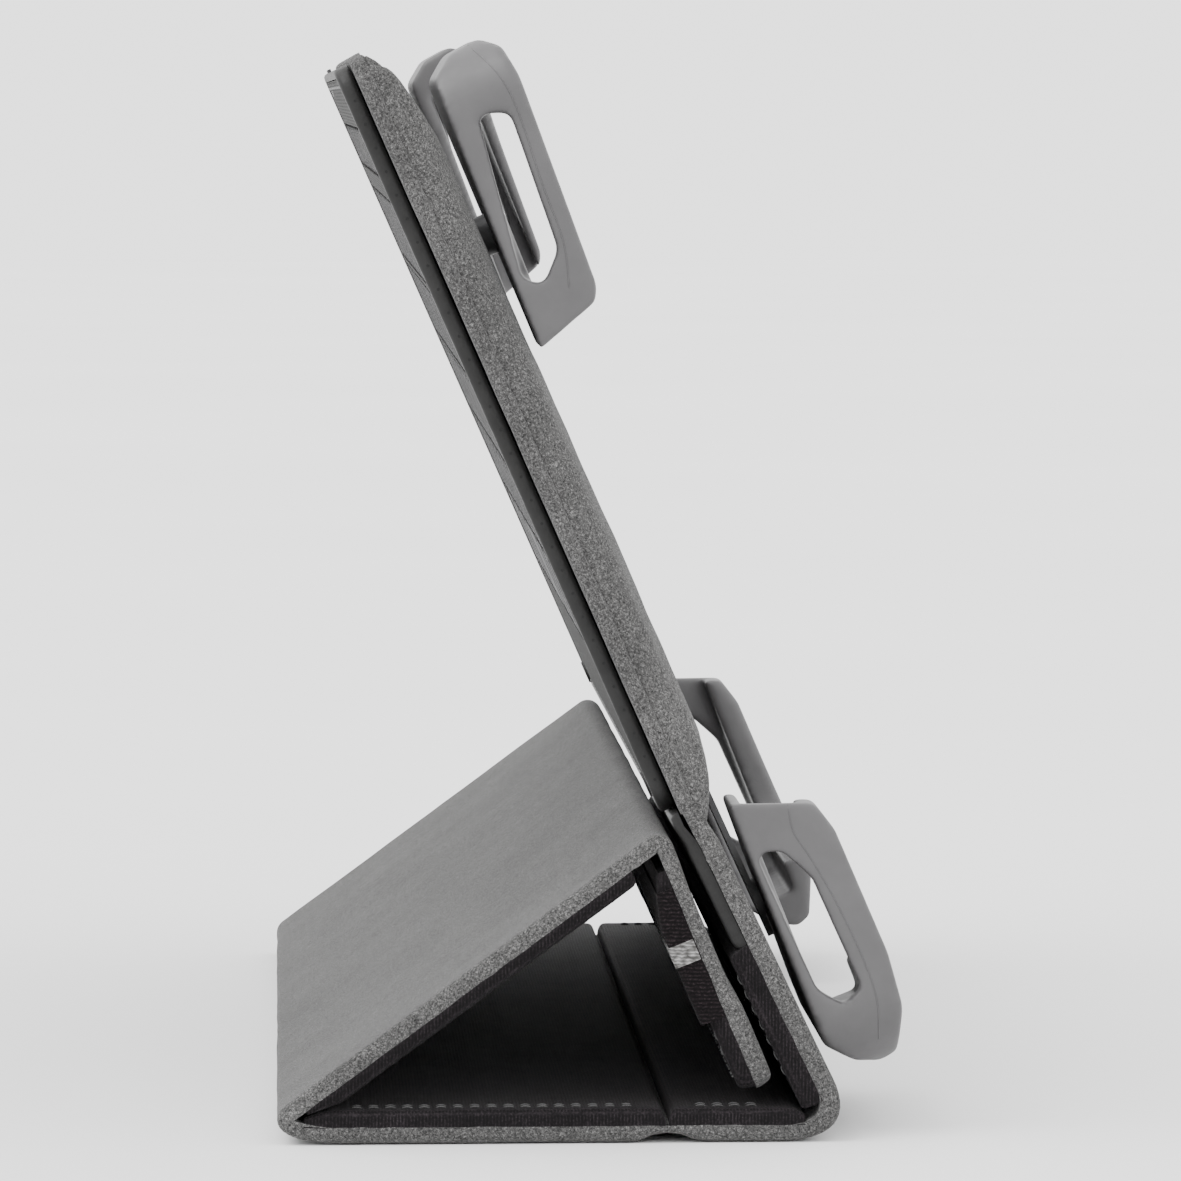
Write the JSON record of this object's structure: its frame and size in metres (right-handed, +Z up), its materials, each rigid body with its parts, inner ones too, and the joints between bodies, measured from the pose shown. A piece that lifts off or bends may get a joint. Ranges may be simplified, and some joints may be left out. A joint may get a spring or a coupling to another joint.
{
  "type": "tablet keyboard case",
  "caption": "Folding cloth folio standing as an easel, with soft corner grips for a tablet on its front and a slim removable keyboard behind.",
  "frame": {"origin": "on the table, at the middle of the bounding box's footprint", "axes": "+Z up, +Y along the cover's width away from the side the picture shows, +X from the low fold towards the tablet's screen side"},
  "size_m": [0.1042, 0.255, 0.1823],
  "materials": {
    "heather_cloth": "felted heather",
    "lining_cloth": "plain weave",
    "stiffener_board": "matt",
    "magnet_metal": "plated",
    "black_elastic": "woven elastic",
    "grey_elastic": "woven elastic",
    "foam": "open cell foam",
    "cradle_nylon": "matt",
    "arm_nylon": "satin",
    "spring_rubber": "matt",
    "grip_silicone": "satin",
    "pocket_leatherette": "satin",
    "keyboard_shell": "satin",
    "keyboard_deck": "laminated cloth",
    "keycaps": "fine matt",
    "plated_steel": "brushed",
    "membrane": "matt",
    "battery_foil": "foil",
    "circuit_board": "lacquered",
    "lamp_lens": "clear",
    "rubber_feet": "matt",
    "switch_plastic": "satin"
  },
  "bodies": {
    "base": {"base_outer_cloth": "heather_cloth", "base_board": "stiffener_board", "base_lining": "lining_cloth", "base_prop_fold": "heather_cloth", "groove_cloth": "lining_cloth"},
    "spine": {"spine_outer_cloth": "heather_cloth", "spine_board": "stiffener_board", "spine_lining": "lining_cloth", "spine_back_fold": "heather_cloth"},
    "prop": {"prop_outer_cloth": "heather_cloth", "prop_board": "stiffener_board", "prop_lining": "lining_cloth", "prop_flap_fold": "heather_cloth"},
    "flap": {"flap_outer_cloth": "heather_cloth", "flap_board": "stiffener_board", "flap_lining": "lining_cloth", "flap_magnets": "magnet_metal", "elastic_band": "black_elastic", "band_stripe": "grey_elastic"},
    "back": {"back_lower_cloth": "heather_cloth", "back_lower_board": "stiffener_board", "back_lower_lining": "lining_cloth", "back_magnets": "magnet_metal", "back_upper_cloth": "heather_cloth", "back_upper_board": "stiffener_board", "keyboard_hold_magnets": "magnet_metal", "pad_cloth": "heather_cloth", "pad_foam": "foam", "cradle_tray": "cradle_nylon", "cradle_cover_plate": "cradle_nylon", "grip_springs": "spring_rubber", "crease_strip": "heather_cloth", "keyboard_pocket": "pocket_leatherette"},
    "keyboard": {"keyboard_shell": "keyboard_shell", "keyboard_deck": "keyboard_deck", "keyboard_backing_plate": "plated_steel", "keyboard_membrane": "membrane", "keyboard_battery_cells": "battery_foil", "keyboard_circuit_board": "circuit_board", "charging_port": "plated_steel", "status_lamps": "lamp_lens", "keyboard_deck_feet": "rubber_feet"},
    "power_switch": {"power_switch": "switch_plastic"},
    "connect_button": {"connect_button": "switch_plastic"},
    "key_row_1": {"key_row_1": "keycaps"},
    "key_row_2": {"key_row_2": "keycaps"},
    "key_row_3": {"key_row_3": "keycaps"},
    "key_row_4": {"key_row_4": "keycaps"},
    "key_row_5": {"key_row_5": "keycaps"},
    "key_row_6": {"key_row_6": "keycaps"},
    "grip_top_near": {"grip_top_near": "grip_silicone", "grip_arm_top_near": "arm_nylon"},
    "grip_top_far": {"grip_top_far": "grip_silicone", "grip_arm_top_far": "arm_nylon"},
    "grip_bottom_near": {"grip_bottom_near": "grip_silicone", "grip_arm_bottom_near": "arm_nylon"},
    "grip_bottom_far": {"grip_bottom_far": "grip_silicone", "grip_arm_bottom_far": "arm_nylon"}
  },
  "joints": [
    {"name": "spine_crease", "type": "hinge", "parent": "base", "child": "spine", "pos_m": [0.01247, 0, 0.0028], "axis": [0, -1, 0], "range_deg": [0, 1.2]},
    {"name": "back_tilt", "type": "hinge", "parent": "spine", "child": "back", "pos_m": [0.03697, 0, 0.0036], "axis": [0, 1, 0], "range_deg": [0, 40]},
    {"name": "prop_fold", "type": "hinge", "parent": "base", "child": "prop", "pos_m": [-0.04933, 0, 0.004], "axis": [0, -1, 0], "range_deg": [0, 80]},
    {"name": "flap_fold", "type": "hinge", "parent": "prop", "child": "flap", "pos_m": [0.0108, 0, 0.04833], "axis": [0, 1, 0], "range_deg": [0, 30]},
    {"name": "keyboard_slide", "type": "slide", "parent": "back", "child": "keyboard", "axis": [-0.4027, 0, 0.9153], "range_m": [0, 0.16]},
    {"name": "power_switch_slide", "type": "slide", "parent": "keyboard", "child": "power_switch", "axis": [0, 1, 0], "range_m": [0, 0.004]},
    {"name": "connect_button_press", "type": "slide", "parent": "keyboard", "child": "connect_button", "axis": [0.4027, 0, -0.9153], "range_m": [0, 0.0004], "stiffness_N_per_m": 500},
    {"name": "key_row_1_press", "type": "slide", "parent": "keyboard", "child": "key_row_1", "axis": [0.9153, 0, 0.4027], "range_m": [0, 0.0006], "stiffness_N_per_m": 900},
    {"name": "key_row_2_press", "type": "slide", "parent": "keyboard", "child": "key_row_2", "axis": [0.9153, 0, 0.4027], "range_m": [0, 0.0006], "stiffness_N_per_m": 900},
    {"name": "key_row_3_press", "type": "slide", "parent": "keyboard", "child": "key_row_3", "axis": [0.9153, 0, 0.4027], "range_m": [0, 0.0006], "stiffness_N_per_m": 900},
    {"name": "key_row_4_press", "type": "slide", "parent": "keyboard", "child": "key_row_4", "axis": [0.9153, 0, 0.4027], "range_m": [0, 0.0006], "stiffness_N_per_m": 900},
    {"name": "key_row_5_press", "type": "slide", "parent": "keyboard", "child": "key_row_5", "axis": [0.9153, 0, 0.4027], "range_m": [0, 0.0006], "stiffness_N_per_m": 900},
    {"name": "key_row_6_press", "type": "slide", "parent": "keyboard", "child": "key_row_6", "axis": [0.9153, 0, 0.4027], "range_m": [0, 0.0006], "stiffness_N_per_m": 900},
    {"name": "grip_top_near_slide", "type": "slide", "parent": "back", "child": "grip_top_near", "axis": [-0.2848, -0.7071, 0.6472], "range_m": [-0.006, 0.008], "stiffness_N_per_m": 300},
    {"name": "grip_top_far_slide", "type": "slide", "parent": "back", "child": "grip_top_far", "axis": [-0.2848, 0.7071, 0.6472], "range_m": [-0.006, 0.008], "stiffness_N_per_m": 300},
    {"name": "grip_bottom_near_slide", "type": "slide", "parent": "back", "child": "grip_bottom_near", "axis": [0.2848, -0.7071, -0.6472], "range_m": [-0.006, 0.008], "stiffness_N_per_m": 300},
    {"name": "grip_bottom_far_slide", "type": "slide", "parent": "back", "child": "grip_bottom_far", "axis": [0.2848, 0.7071, -0.6472], "range_m": [-0.006, 0.008], "stiffness_N_per_m": 300}
  ],
  "couplings": [
    {"joint": "flap_fold", "follows": "prop_fold", "ratio": 0.36}
  ]
}
